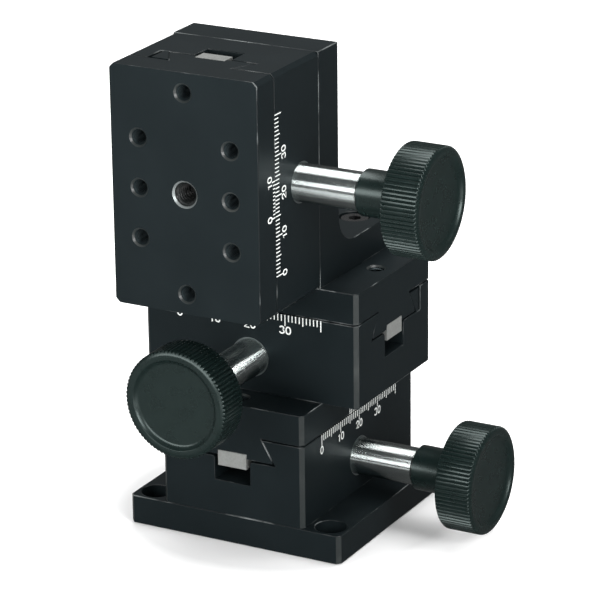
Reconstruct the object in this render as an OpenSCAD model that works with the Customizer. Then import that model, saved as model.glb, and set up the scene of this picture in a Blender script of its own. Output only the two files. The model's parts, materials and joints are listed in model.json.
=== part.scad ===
// Three-axis translation stage, built up from three dovetail stages of one pattern.
// Each stage is driven by a rack under its table and a pinion on a knob shaft.
// Frame: millimetres, +Z up, origin at the centre of the base plate's underside.
// The lower stage travels along Y, the middle one along X, the vertical one along Z.

/* [Stage block] */
// Width of a stage, across its travel
stage_w = 40; // [38:1:41]
// Length of a stage, along its travel
stage_l = 60; // [60:1:72]
// Height of a stage, from the underside of its base to its table's face
stage_h = 30; // [29:0.5:34]
// Thickness of the table plate above the parting line
table_t = 8; // [7:0.5:9]
// Chamfer on the four corner edges of a base and of a table
corner_c = 1; // [0.5:0.1:2]
// Travel to each side of the middle position
half_travel = 15; // [10:0.5:15]

/* [Dovetail] */
// Width of the dovetail at its root, under the table plate
dove_w = 16.6; // [16:0.1:18]
// Depth of the dovetail below the table plate
dove_h = 6.2; // [5.8:0.1:6.6]
// Angle of the dovetail's flanks from the parting plane
dove_angle = 60; // [58:1:62]
// Width across the blunt tips of the dovetail
dove_tip_w = 22.8; // [22:0.1:23]
// Open gap between table and base at the parting line
parting_gap = 0.3; // [0.2:0.05:0.5]
// Gap under the dovetail
floor_gap = 0.5; // [0.3:0.1:0.8]
// Thickness of the gib at the dovetail's root
gib_t = 5.1; // [4.8:0.1:5.5]
// Width of the open slot between the gib and the base's wall
gib_slot = 1; // [0.8:0.1:1.2]

/* [Rack and pinion] */
// Module of the rack's and pinion's teeth
gear_module = 0.5; // [0.45:0.05:0.5]
// Number of teeth on the pinion
pinion_teeth = 18; // [17:1:18]
// Width of the rack bar
rack_w = 8; // [7.5:0.1:8.4]
// Thickness of the rack bar over its teeth
rack_t = 4; // [3.6:0.1:4.4]
// How far the rack's teeth hang below the dovetail
rack_drop = 2.8; // [2.6:0.1:3]
// Width of the channel that the rack and pinion run in
channel_w = 10; // [9.6:0.1:10.4]
// Depth of the channel below the dovetail's groove
channel_d = 6.3; // [6:0.1:6.6]
// Length of the pinion's toothed face
pinion_face = 6.4; // [5.5:0.1:6.6]
// Diameter of the knob shaft
shaft_d = 5; // [4:0.5:5]

/* [Knob] */
// Outside diameter of the plated sleeve
sleeve_d = 9.5; // [9:0.1:10]
// Length of the sleeve outside the base
sleeve_out = 16.8; // [15:0.1:20]
// Diameter of the knob's neck
neck_d = 11.5; // [11:0.1:12]
// Length of the knob's neck
neck_l = 10.7; // [9:0.1:14]
// Diameter of the knob's head over the knurling
knob_d = 27.5; // [26:0.1:27.5]
// Thickness of the knob's head
knob_t = 9.6; // [8:0.1:12]
// Number of straight knurls round the head
knurl_count = 80; // [60:1:90]
// Depth of the knurls
knurl_d = 0.45; // [0.3:0.05:0.6]
// Diameter of the sunk disc in the knob's face
disc_d = 20.8; // [18:0.1:21.5]
// Depth of the sunk disc
disc_depth = 1; // [0.6:0.1:1.5]

/* [Base plate and bracket] */
// Thickness of the base plate
plate_t = 7.5; // [7:0.5:12]
// Distance of the base plate's fixing holes from its edges
plate_hole_inset = 5; // [4.6:0.1:5.4]
// Thickness of the bracket's upright leg
leg_t = 10; // [9:0.5:10]
// Thickness of the bracket's foot
foot_t = 8; // [7:0.5:10]
// Radius of the fillet between leg and foot
bracket_fillet = 8; // [4:0.5:8]

/* [Fasteners] */
// Pitch of the tapped holes that stages and bracket share
hole_pitch = 12.5; // [12.5:0.1:12.8]
// Distance from the middle of a table to its end holes
end_hole_y = 25; // [24.5:0.1:25.5]
// Thread diameter of the fixing screws
screw_d = 4; // [3.5:0.5:4]
// Thread diameter of the large hole in the middle of a table
centre_hole_d = 6; // [5:0.5:6]
// Clearance hole for a fixing screw
clear_d = 4.5; // [4.3:0.1:4.6]
// Counterbore for a fixing screw's head
counterbore_d = 8; // [7.6:0.1:8.4]
// Depth of the counterbores
counterbore_h = 4.4; // [4.2:0.1:4.5]
// Head diameter of the fixing screws
head_d = 7; // [6.5:0.1:7.2]
// Head height of the fixing screws
head_h = 4; // [3.6:0.1:4]
// How deep a base's fixing screws reach into the piece below
base_bite = 5.4; // [4:0.1:6.5]
// How deep the bracket's fixing screws reach into the middle table
foot_bite = 6.4; // [4:0.1:6.5]
// Thread diameter of the gib's and knob's set screws
set_screw_d = 3; // [2.5:0.5:3]
// Distance between the gib's set screws
gib_screw_pitch = 20; // [18:0.5:20.5]
// Thread diameter of the screws that hold a rack
rack_screw_d = 2.5; // [2:0.5:2.5]
// Diameter of the pin that stops the travel
stop_pin_d = 2; // [1.6:0.1:2]

/* [Hidden] */
$fn = 64;

// Colours
anodised = [0.13, 0.14, 0.15];
knob_black = [0.14, 0.17, 0.17];
plated = [0.80, 0.82, 0.82];
steel = [0.66, 0.67, 0.66];
dark_steel = [0.20, 0.20, 0.21];
bronze = [0.70, 0.52, 0.28];

// Clearances: a running fit, a seated fit and the overrun of a cut past a face
run_fit = 0.03;
seat_fit = 0.01;
cut = 1;

// Heights inside a stage, from the underside of its base
part_z = stage_h - table_t;
base_top = part_z - parting_gap;
dove_bottom = part_z - dove_h;
groove_floor = dove_bottom - floor_gap;
channel_floor = groove_floor - channel_d;
rack_tip = dove_bottom - rack_drop;
rack_top = rack_tip + rack_t;
pitch_line = rack_tip + gear_module;

// Flank of the dovetail: half widths at a height, x grows downwards from the root
flank_run = 1 / tan(dove_angle);
function flank_x(z) = dove_w / 2 + (part_z - z) * flank_run;

// Gib and the slot behind it
gib_back = dove_w / 2 + gib_t;
gib_wall = gib_back + gib_slot;
gib_bottom = groove_floor + 0.1;
gib_top = part_z - 0.6;
gib_screw_z = (gib_bottom + gib_top) / 2;
gib_screw_inset = 0.5;

// Pinion, rack teeth and the shaft's axis
pitch_r = gear_module * pinion_teeth / 2;
axis_z = pitch_line - pitch_r;
pressure_angle = 20;
dedendum = 1.25 * gear_module;
backlash = 0.03;
tip_r = pitch_r + gear_module;
root_r = pitch_r - dedendum;
involute_r = pitch_r * cos(pressure_angle);
tooth_pitch = PI * gear_module;
tooth_half = tooth_pitch / 4 - backlash;
pocket_r = tip_r + 0.4;
hub_r = root_r - 0.3;
side_gap = 0.3;
pinion_l = channel_w - 2 * side_gap;
pinion_pin_d = 1.2;

// Shaft, bush and sleeve
wall_x = stage_w / 2;
channel_x = channel_w / 2;
bush_l = 8;
bush_wall = 1.5;
bush_d = shaft_d + 2 * bush_wall;
bush_inset = 0.5;
shaft_start = -channel_x - bush_l + bush_inset;
neck_x = wall_x + sleeve_out + side_gap;
head_x = neck_x + neck_l;
shaft_in_head = 5;
shaft_end = head_x + shaft_in_head;
sleeve_edge = 0.3;

// Edges of the knob's head
rim_c = 1;
rim_run = 0.6;
rear_c = 0.5;
neck_c = 0.4;
rim_w = 1.2;

// Small chamfers at the mouths of the tapped holes and of the sleeve's bore
mouth_c = 0.45;
bore_c = 0.4;
mouth_over = 0.1;

// Heights of the stack, from the underside of the base plate
lower_z = plate_t;
middle_z = lower_z + stage_h;
deck_z = middle_z + stage_h;
upright_z = deck_z + stage_l / 2;
front_y = -stage_w / 2;
plate_w = stage_l;
plate_hole_x = plate_w / 2 - plate_hole_inset;
leg_back = front_y + leg_t;

// Fastener shapes: a hexagon's size is its width across the flats over the cosine of 30
fixing_hex_af = 3;
fixing_hex = fixing_hex_af / cos(30);
fixing_hex_h = 2;
set_hex_af = 1.5;
set_hex = set_hex_af / cos(30);
set_hex_h = 1.5;
rack_hex = set_hex;
rack_hex_h = 1;
rack_head_d = 1.8 * rack_screw_d;
rack_head_h = 1.6;
rack_seat = rack_tip + rack_head_h + 0.4;
rack_screw_gap = 0.3;
rack_screw_back = 4.5;
rack_screw_y = end_hole_y - rack_screw_back;
rack_screw_l = 5;
stop_pin_x = 8;
stop_pin_y = -10;
stop_pin_l = 5;
stop_rise = 1.9;
stop_slot_h = 2.1;
stop_gap = 0.15;

// Chamfer along the channel's upper edges
channel_c = 0.5;

// A block with its four upright corner edges chamfered
module chamfered_block(w, l, h, c) {
    a = w / 2;
    b = l / 2;
    linear_extrude(h)
        polygon([
            [-a + c, -b], [a - c, -b], [a, -b + c], [a, b - c],
            [a - c, b], [-a + c, b], [-a, b - c], [-a, -b + c]
        ]);
}

// A profile in x and z, drawn out along y for the whole stage and centred
module along_y(l) {
    translate([0, l / 2, 0])
        rotate([90, 0, 0])
            linear_extrude(l)
                children();
}

// A cylinder whose axis runs along +x from x0 to x1
module along_x(r, x0, x1) {
    translate([x0, 0, 0])
        rotate([0, 90, 0])
            cylinder(r = r, h = x1 - x0);
}

// A hole down from a face at height z, with a chamfered mouth
module tapped_hole(d, z, depth) {
    translate([0, 0, z - depth])
        cylinder(d = d, h = depth + cut);
    translate([0, 0, z - mouth_c])
        cylinder(r1 = d / 2, r2 = d / 2 + mouth_c + mouth_over, h = mouth_c + mouth_over);
}

// A through hole with a counterbore, from a face at height z down through t
module counterbored_hole(z, t) {
    translate([0, 0, z - t - cut])
        cylinder(d = clear_d, h = t + 2 * cut);
    translate([0, 0, z - counterbore_h])
        cylinder(d = counterbore_d, h = counterbore_h + cut);
}

// A socket-head cap screw, its head resting on z = 0 and its shank pointing down
module cap_screw(d, l, hd, hh, hex, hex_h) {
    difference() {
        union() {
            translate([0, 0, -l])
                cylinder(d = d - 2 * seat_fit, h = l);
            cylinder(d = hd, h = hh);
        }
        translate([0, 0, hh - hex_h])
            cylinder(d = hex, h = hex_h + cut, $fn = 6);
    }
}

// A fixing screw of the stages and the bracket, by its length under the head
module fixing_screw(l) {
    cap_screw(screw_d, l, head_d, head_h, fixing_hex, fixing_hex_h);
}

// A socket set screw, from z = 0 up to z = l, its socket on top
module set_screw(d, l) {
    difference() {
        cylinder(d = d - 2 * seat_fit, h = l);
        translate([0, 0, l - set_hex_h])
            cylinder(d = set_hex, h = set_hex_h + cut, $fn = 6);
    }
}

// The base's groove: a dovetail flank on the knob's side, an upright wall for the gib
module groove_profile() {
    over = part_z + cut;
    polygon([
        [-gib_wall, groove_floor],
        [flank_x(groove_floor) + run_fit, groove_floor],
        [flank_x(over) + run_fit, over],
        [-gib_wall, over]
    ]);
}

// The channel below the groove, its upper edges chamfered
module channel_profile() {
    over = groove_floor + cut;
    polygon([
        [-channel_x, channel_floor],
        [channel_x, channel_floor],
        [channel_x, groove_floor - channel_c],
        [channel_x + channel_c, groove_floor],
        [channel_x + channel_c, over],
        [-channel_x - channel_c, over],
        [-channel_x - channel_c, groove_floor],
        [-channel_x, groove_floor - channel_c]
    ]);
}

// Holes for the two screws that hold a base, in the channel's floor
module base_screw_places() {
    for (side = [-1, 1])
        translate([0, side * hole_pitch, 0])
            children();
}

// Places of the gib's set screws, with +z pointing out of the base's side
module gib_screw_places() {
    for (i = [-1, 0, 1])
        translate([-wall_x, i * gib_screw_pitch, gib_screw_z])
            rotate([0, -90, 0])
                children();
}

// Chamfer where the sleeve's bore leaves the base's wall
module sleeve_mouth() {
    r = sleeve_d / 2 + seat_fit;
    translate([wall_x - bore_c, 0, 0])
        rotate([0, 90, 0])
            cylinder(r1 = r, r2 = r + bore_c + mouth_over, h = bore_c + mouth_over);
}

// Base of a stage, with the groove, the rack channel and the shaft's bores
module stage_base() {
    color(anodised)
        difference() {
            chamfered_block(stage_w, stage_l, base_top, corner_c);
            along_y(stage_l + 2 * cut)
                groove_profile();
            along_y(stage_l + 2 * cut)
                channel_profile();
            translate([0, 0, axis_z]) {
                along_x(pocket_r, -channel_x, channel_x);
                along_x(sleeve_d / 2 + seat_fit, 0, wall_x + cut);
                along_x(bush_d / 2 + seat_fit, -channel_x - bush_l, 0);
                sleeve_mouth();
            }
            base_screw_places()
                counterbored_hole(channel_floor, channel_floor);
            gib_screw_places()
                translate([0, 0, -wall_x + gib_back])
                    cylinder(d = set_screw_d, h = wall_x - gib_back + cut);
            translate([stop_pin_x, stop_pin_y, groove_floor + stop_rise - stop_pin_l - seat_fit])
                cylinder(d = stop_pin_d + 2 * seat_fit, h = stop_pin_l);
        }
}

// Table of a stage, with the dovetail under it and the pattern of tapped holes
module stage_table() {
    slot_half = half_travel + stop_gap;
    slot_d = stop_pin_d + 2 * stop_gap;
    color(anodised)
        difference() {
            union() {
                translate([0, 0, part_z])
                    chamfered_block(stage_w, stage_l, table_t, corner_c);
                intersection() {
                    along_y(stage_l)
                        polygon([
                            [-flank_x(dove_bottom), dove_bottom],
                            [flank_x(dove_bottom), dove_bottom],
                            [flank_x(part_z), part_z],
                            [flank_x(part_z), part_z + cut],
                            [-flank_x(part_z), part_z + cut],
                            [-flank_x(part_z), part_z]
                        ]);
                    translate([-dove_tip_w / 2, -stage_l / 2, dove_bottom])
                        cube([dove_tip_w, stage_l, dove_h + cut]);
                }
            }
            translate([-rack_w / 2 - seat_fit, -stage_l / 2 - cut, dove_bottom - cut])
                cube([rack_w + 2 * seat_fit, stage_l + 2 * cut, rack_top + seat_fit - dove_bottom + cut]);
            for (side = [-1, 1])
                translate([0, side * rack_screw_y, rack_top - cut])
                    cylinder(d = rack_screw_d, h = rack_screw_l + cut);
            for (i = [-1, 1], j = [-1, 0, 1])
                translate([i * hole_pitch, j * hole_pitch, 0])
                    tapped_hole(screw_d, stage_h, table_t + cut);
            for (side = [-1, 1])
                translate([0, side * end_hole_y, 0])
                    tapped_hole(screw_d, stage_h, table_t);
            tapped_hole(centre_hole_d, stage_h, table_t + 2);
            translate([stop_pin_x, stop_pin_y, dove_bottom - cut]) {
                translate([-slot_d / 2, -slot_half, 0])
                    cube([slot_d, 2 * slot_half, stop_slot_h + cut]);
                for (side = [-1, 1])
                    translate([0, side * slot_half, 0])
                        cylinder(d = slot_d, h = stop_slot_h + cut);
            }
        }
}

// Half a rack tooth's width at a height: the teeth point down from the bar
function rack_tooth_half(z) = tooth_half + (z - pitch_line) * tan(pressure_angle);

// One rack tooth's outline in y and z, from its left root to its right root
function rack_tooth(y) = let(root = pitch_line + dedendum) [
    [y - rack_tooth_half(root), root],
    [y - rack_tooth_half(rack_tip), rack_tip],
    [y + rack_tooth_half(rack_tip), rack_tip],
    [y + rack_tooth_half(root), root]
];

// Rack bar with teeth on its underside, plain at both ends
module stage_rack() {
    each_side = floor((stage_l / 2 - 1.2) / tooth_pitch);
    last_y = (each_side + 0.5) * tooth_pitch;
    root = pitch_line + dedendum;
    teeth = [for (i = [-each_side : each_side]) each rack_tooth(i * tooth_pitch)];
    color(steel)
        difference() {
            rotate([90, 0, 90])
                translate([0, 0, -rack_w / 2])
                    linear_extrude(rack_w)
                        polygon(concat(
                            [
                                [-stage_l / 2, rack_top],
                                [-stage_l / 2, rack_tip],
                                [-last_y - 0.2, rack_tip],
                                [-last_y, root]
                            ],
                            teeth,
                            [
                                [last_y, root],
                                [last_y + 0.2, rack_tip],
                                [stage_l / 2, rack_tip],
                                [stage_l / 2, rack_top]
                            ]
                        ));
            for (side = [-1, 1])
                translate([0, side * rack_screw_y, rack_tip - cut]) {
                    cylinder(d = rack_screw_d + rack_screw_gap, h = rack_t + 2 * cut);
                    cylinder(d = rack_head_d + rack_screw_gap, h = rack_seat - rack_tip + cut);
                }
        }
}

// The two small cap screws that hold the rack, heads down in the bar
module stage_rack_screws() {
    color(dark_steel)
        for (side = [-1, 1])
            translate([0, side * rack_screw_y, rack_seat])
                rotate([180, 0, 0])
                    cap_screw(rack_screw_d, rack_screw_l, rack_head_d, rack_head_h, rack_hex, rack_hex_h);
}

// Gib strip: its inner face follows the dovetail's flank, its back is upright
module stage_gib() {
    color(anodised)
        along_y(stage_l)
            polygon([
                [-gib_back, gib_bottom],
                [-flank_x(gib_bottom) - run_fit, gib_bottom],
                [-flank_x(gib_top) - run_fit, gib_top],
                [-gib_back, gib_top]
            ]);
}

// Three set screws that press the gib against the dovetail
module stage_gib_screws() {
    tip = wall_x - gib_back - seat_fit;
    color(dark_steel)
        gib_screw_places()
            translate([0, 0, -tip])
                set_screw(set_screw_d, tip - gib_screw_inset);
}

// Pin in the groove's floor that runs in a slot under the table and ends the travel
module stage_stop_pin() {
    color(steel)
        translate([stop_pin_x, stop_pin_y, groove_floor + stop_rise - stop_pin_l])
            cylinder(d = stop_pin_d, h = stop_pin_l);
}

// Two cap screws that hold the base down, their heads sunk in the channel's floor
module stage_base_screws() {
    color(dark_steel)
        base_screw_places()
            translate([0, 0, channel_floor - counterbore_h])
                fixing_screw(channel_floor - counterbore_h + base_bite);
}

// Plated sleeve that carries the shaft out to the knob
module stage_sleeve() {
    inside_r = shaft_d / 2 + run_fit;
    outside_r = sleeve_d / 2;
    x0 = channel_x;
    x1 = wall_x + sleeve_out;
    color(plated)
        translate([x0, 0, axis_z])
            rotate([0, 90, 0])
                rotate_extrude()
                    polygon([
                        [inside_r, 0],
                        [outside_r, 0],
                        [outside_r, x1 - x0 - sleeve_edge],
                        [outside_r - sleeve_edge, x1 - x0],
                        [inside_r, x1 - x0]
                    ]);
}

// Bush for the shaft's far end
module stage_bush() {
    color(bronze)
        translate([0, 0, axis_z])
            difference() {
                along_x(bush_d / 2, -channel_x - bush_l, -channel_x);
                along_x(shaft_d / 2 + run_fit, -channel_x - bush_l - cut, -channel_x + cut);
            }
}

// Knob shaft, from the bush through the pinion and sleeve into the knob
module stage_shaft() {
    color(steel)
        translate([0, 0, axis_z])
            difference() {
                along_x(shaft_d / 2, shaft_start, shaft_end);
                pinion_pin_place()
                    cylinder(d = pinion_pin_d + 2 * seat_fit, h = 4 * hub_r, center = true);
            }
}

// Place of the pin through the pinion's hub
module pinion_pin_place() {
    translate([pinion_l / 2 - (pinion_l - pinion_face) / 2, 0, 0])
        children();
}

// Involute of a circle, as the angle that it opens at a pressure angle
function involute(a) = tan(a) * 180 / PI - a;

// Half the angle that a pinion tooth spans at radius r
function tooth_angle(r) =
    90 / pinion_teeth + involute(pressure_angle) - involute(acos(min(1, involute_r / r)))
    - backlash / pitch_r * 180 / PI;

function polar(r, a) = [r * cos(a), r * sin(a)];

// Outline of the pinion, one tooth after another, with a gap at the top of the circle
module pinion_outline() {
    steps = 5;
    radii = [for (i = [0 : steps]) involute_r + (tip_r - involute_r) * i / steps];
    start = 90 + 180 / pinion_teeth;
    polygon([
        for (n = [0 : pinion_teeth - 1])
            let(mid = start + n * 360 / pinion_teeth)
                each concat(
                    [polar(root_r, mid - tooth_angle(involute_r))],
                    [for (r = radii) polar(r, mid - tooth_angle(r))],
                    [for (i = [steps : -1 : 0]) polar(radii[i], mid + tooth_angle(radii[i]))],
                    [polar(root_r, mid + tooth_angle(involute_r))]
                )
    ]);
}

// Pinion with a plain hub, pinned to the shaft
module stage_pinion() {
    color(steel)
        translate([0, 0, axis_z])
            difference() {
                union() {
                    translate([-pinion_l / 2, 0, 0])
                        rotate([90, 0, 90])
                            linear_extrude(pinion_face)
                                pinion_outline();
                    along_x(hub_r, -pinion_l / 2, pinion_l / 2);
                }
                along_x(shaft_d / 2 + seat_fit, -pinion_l, pinion_l);
                pinion_pin_place()
                    cylinder(d = pinion_pin_d + 2 * seat_fit, h = 4 * hub_r, center = true);
            }
}

// Pin through the pinion's hub and the shaft
module stage_pinion_pin() {
    color(dark_steel)
        translate([0, 0, axis_z])
            pinion_pin_place()
                cylinder(d = pinion_pin_d, h = 2 * hub_r - 0.2, center = true);
}

// Solid of the knob by turning: neck, head with chamfered rim, sunk disc in its face
module knob_turning() {
    r = knob_d / 2;
    rim_r = r - rim_c;
    disc_r = disc_d / 2;
    polygon([
        [0, 0],
        [neck_d / 2 - neck_c, 0],
        [neck_d / 2, neck_c],
        [neck_d / 2, neck_l],
        [r - rear_c, neck_l],
        [r, neck_l + rear_c],
        [r, neck_l + knob_t - rim_run],
        [rim_r, neck_l + knob_t],
        [rim_r - rim_w, neck_l + knob_t],
        [rim_r - rim_w - 0.3, neck_l + knob_t - disc_depth / 3],
        [disc_r, neck_l + knob_t - disc_depth],
        [0, neck_l + knob_t - disc_depth]
    ]);
}

// Outline of the knurled head: ridges with V grooves between them
module knurl_outline() {
    step = 360 / knurl_count;
    polygon([
        for (i = [0 : knurl_count - 1])
            each [
                polar(knob_d / 2 - knurl_d, (i - 0.5) * step),
                polar(knob_d / 2, (i - 0.18) * step),
                polar(knob_d / 2, (i + 0.18) * step)
            ]
    ]);
}

// Knob with a straight-knurled head and a neck that takes the shaft
module stage_knob() {
    color(knob_black)
        translate([neck_x, 0, axis_z])
            difference() {
                rotate([0, 90, 0])
                    intersection() {
                        rotate_extrude()
                            knob_turning();
                        union() {
                            cylinder(d = neck_d + 1, h = neck_l + rear_c);
                            translate([0, 0, neck_l])
                                linear_extrude(knob_t)
                                    knurl_outline();
                        }
                    }
                along_x(shaft_d / 2 + seat_fit, -cut, shaft_end - neck_x + seat_fit);
                translate([neck_l / 2, 0, -neck_d])
                    cylinder(d = set_screw_d, h = neck_d);
            }
}

// Set screw that grips the shaft through the knob's neck
module stage_knob_screw() {
    l = (neck_d - shaft_d) / 2 - 0.4;
    color(dark_steel)
        translate([neck_x + neck_l / 2, 0, axis_z - shaft_d / 2 - seat_fit])
            rotate([180, 0, 0])
                set_screw(set_screw_d, l);
}

// Places of the three stages in the stack
module lower_place() {
    translate([0, 0, lower_z])
        children();
}
module middle_place() {
    translate([0, 0, middle_z])
        rotate([0, 0, -90])
            children();
}
module vertical_place() {
    translate([0, front_y, upright_z])
        rotate([90, 0, 0])
            children();
}

// Square base plate, counterbored at its corners and tapped for the lower base
module base_plate() {
    color(anodised)
        difference() {
            chamfered_block(plate_w, plate_w, plate_t, corner_c);
            for (i = [-1, 1], j = [-1, 1])
                translate([i * plate_hole_x, j * plate_hole_x, 0])
                    counterbored_hole(plate_t, plate_t);
            base_screw_places()
                tapped_hole(screw_d, plate_t, plate_t + cut);
        }
}

// Places of the two screws through the bracket's foot
module foot_screw_places() {
    for (side = [-1, 1])
        translate([side * hole_pitch, hole_pitch, 0])
            children();
}

// L bracket: an upright leg for the vertical stage on a foot with a filleted corner
module bracket() {
    foot_top = deck_z + foot_t;
    color(anodised)
        difference() {
            union() {
                translate([-stage_w / 2, front_y, deck_z])
                    cube([stage_w, leg_t, stage_l]);
                translate([-stage_w / 2, front_y, deck_z])
                    cube([stage_w, stage_w, foot_t]);
                difference() {
                    translate([-stage_w / 2, leg_back - cut, foot_top - cut])
                        cube([stage_w, bracket_fillet + cut, bracket_fillet + cut]);
                    translate([0, leg_back + bracket_fillet, foot_top + bracket_fillet])
                        along_x(bracket_fillet, -stage_w, stage_w);
                }
            }
            foot_screw_places()
                counterbored_hole(foot_top, foot_t);
            for (side = [-1, 1])
                translate([0, front_y, upright_z + side * hole_pitch])
                    rotate([90, 0, 0])
                        tapped_hole(screw_d, 0, leg_t + cut);
        }
}

// Cap screws that hold the bracket's foot on the middle table
module bracket_screws() {
    color(dark_steel)
        translate([0, 0, deck_z + foot_t - counterbore_h])
            foot_screw_places()
                fixing_screw(foot_t - counterbore_h + foot_bite);
}

// The pieces of the lower stage
module lower_base() lower_place() stage_base();
module lower_table() lower_place() stage_table();
module lower_rack() lower_place() stage_rack();
module lower_rack_screws() lower_place() stage_rack_screws();
module lower_gib() lower_place() stage_gib();
module lower_gib_screws() lower_place() stage_gib_screws();
module lower_stop_pin() lower_place() stage_stop_pin();
module lower_base_screws() lower_place() stage_base_screws();
module lower_sleeve() lower_place() stage_sleeve();
module lower_bush() lower_place() stage_bush();
module lower_shaft() lower_place() stage_shaft();
module lower_pinion() lower_place() stage_pinion();
module lower_pinion_pin() lower_place() stage_pinion_pin();
module lower_knob() lower_place() stage_knob();
module lower_knob_screw() lower_place() stage_knob_screw();

// The pieces of the middle stage
module middle_base() middle_place() stage_base();
module middle_table() middle_place() stage_table();
module middle_rack() middle_place() stage_rack();
module middle_rack_screws() middle_place() stage_rack_screws();
module middle_gib() middle_place() stage_gib();
module middle_gib_screws() middle_place() stage_gib_screws();
module middle_stop_pin() middle_place() stage_stop_pin();
module middle_base_screws() middle_place() stage_base_screws();
module middle_sleeve() middle_place() stage_sleeve();
module middle_bush() middle_place() stage_bush();
module middle_shaft() middle_place() stage_shaft();
module middle_pinion() middle_place() stage_pinion();
module middle_pinion_pin() middle_place() stage_pinion_pin();
module middle_knob() middle_place() stage_knob();
module middle_knob_screw() middle_place() stage_knob_screw();

// The pieces of the vertical stage
module vertical_base() vertical_place() stage_base();
module vertical_table() vertical_place() stage_table();
module vertical_rack() vertical_place() stage_rack();
module vertical_rack_screws() vertical_place() stage_rack_screws();
module vertical_gib() vertical_place() stage_gib();
module vertical_gib_screws() vertical_place() stage_gib_screws();
module vertical_stop_pin() vertical_place() stage_stop_pin();
module vertical_base_screws() vertical_place() stage_base_screws();
module vertical_sleeve() vertical_place() stage_sleeve();
module vertical_bush() vertical_place() stage_bush();
module vertical_shaft() vertical_place() stage_shaft();
module vertical_pinion() vertical_place() stage_pinion();
module vertical_pinion_pin() vertical_place() stage_pinion_pin();
module vertical_knob() vertical_place() stage_knob();
module vertical_knob_screw() vertical_place() stage_knob_screw();

base_plate();
lower_base();
lower_table();
lower_rack();
lower_rack_screws();
lower_gib();
lower_gib_screws();
lower_stop_pin();
lower_base_screws();
lower_sleeve();
lower_bush();
lower_shaft();
lower_pinion();
lower_pinion_pin();
lower_knob();
lower_knob_screw();
middle_base();
middle_table();
middle_rack();
middle_rack_screws();
middle_gib();
middle_gib_screws();
middle_stop_pin();
middle_base_screws();
middle_sleeve();
middle_bush();
middle_shaft();
middle_pinion();
middle_pinion_pin();
middle_knob();
middle_knob_screw();
bracket();
bracket_screws();
vertical_base();
vertical_table();
vertical_rack();
vertical_rack_screws();
vertical_gib();
vertical_gib_screws();
vertical_stop_pin();
vertical_base_screws();
vertical_sleeve();
vertical_bush();
vertical_shaft();
vertical_pinion();
vertical_pinion_pin();
vertical_knob();
vertical_knob_screw();
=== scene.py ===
"""Finishes for a three-axis translation stage: anodised blocks, scales, threads and knurled knobs.

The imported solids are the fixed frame. Each sub-assembly is a class that holds its sizes, builds its
meshes and dresses them. Lengths in the classes are millimetres and become metres in one place.
"""
from __future__ import annotations

import json
import logging
import math
from dataclasses import dataclass, field
from enum import Enum

import bmesh
import bpy
import numpy as np
from bpy.types import Material, Object
from mathutils import Matrix, Vector

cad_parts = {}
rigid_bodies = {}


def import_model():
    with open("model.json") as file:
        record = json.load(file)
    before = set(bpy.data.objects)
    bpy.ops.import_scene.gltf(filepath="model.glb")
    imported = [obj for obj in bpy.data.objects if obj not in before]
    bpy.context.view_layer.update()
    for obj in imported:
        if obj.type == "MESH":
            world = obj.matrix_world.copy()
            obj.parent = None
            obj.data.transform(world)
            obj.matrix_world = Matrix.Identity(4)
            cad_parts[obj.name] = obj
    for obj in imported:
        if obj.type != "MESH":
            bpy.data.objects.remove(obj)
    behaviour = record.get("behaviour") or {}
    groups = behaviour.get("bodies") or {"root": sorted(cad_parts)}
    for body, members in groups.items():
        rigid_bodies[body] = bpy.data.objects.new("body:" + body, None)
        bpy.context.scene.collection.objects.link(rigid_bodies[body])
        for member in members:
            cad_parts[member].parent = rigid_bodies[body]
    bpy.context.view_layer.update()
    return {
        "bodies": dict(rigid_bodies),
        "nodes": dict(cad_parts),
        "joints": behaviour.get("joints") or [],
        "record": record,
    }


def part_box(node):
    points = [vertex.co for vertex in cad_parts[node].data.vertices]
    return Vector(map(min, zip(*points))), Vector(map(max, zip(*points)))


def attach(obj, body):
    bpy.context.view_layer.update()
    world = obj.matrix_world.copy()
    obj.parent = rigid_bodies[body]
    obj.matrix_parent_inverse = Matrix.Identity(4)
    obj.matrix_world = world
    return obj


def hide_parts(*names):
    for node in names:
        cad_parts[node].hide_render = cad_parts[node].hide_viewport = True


LOG = logging.getLogger("stage")
MM = 0.001
TAU = 2 * math.pi
Pair = tuple[float, float]
Triple = tuple[float, float, float]
# Points, and faces as numbers of points
Skin = tuple[np.ndarray, np.ndarray]
# Heights in a stage's own frame that several pieces share, in millimetres
TABLE_TOP = 30.0
SHAFT_Z = 9.0
# A block's faces, its broken edges (lighter in patches, partly wear and partly painted highlight),
# its corner chamfers and smaller mouths (painted highlight), its bored rings
BLOCK_FINISHES = ("black_anodised", "edge_wear_and_highlight", "chamfer_painted_highlight", "cut_ring")
FACE, EDGE_WEAR_AND_HIGHLIGHT, CHAMFER_HIGHLIGHT, RING = range(len(BLOCK_FINISHES))
# Points of a new mesh that are this close, in metres, are one point
WELD = 1e-7


class Axis(Enum):
    """The three stages, by name, with the row directions of their own x, y and z."""

    LOWER = ("lower", (1, 0, 0), (0, 1, 0), (0, 0, 1))
    MIDDLE = ("middle", (0, -1, 0), (1, 0, 0), (0, 0, 1))
    VERTICAL = ("vertical", (1, 0, 0), (0, 0, 1), (0, -1, 0))

    @property
    def stage(self) -> str:
        """The stage's name, which starts the names of its nodes."""
        return self.value[0]

    @property
    def turn(self) -> np.ndarray:
        """The rotation whose columns are the stage's own x, y and z in the row frame."""
        return np.array(self.value[1:], float).T


class Glyph(Enum):
    """The digits that the scales use, each as strokes inside a unit-high box."""

    ZERO = "0"
    ONE = "1"
    TWO = "2"
    THREE = "3"


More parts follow.
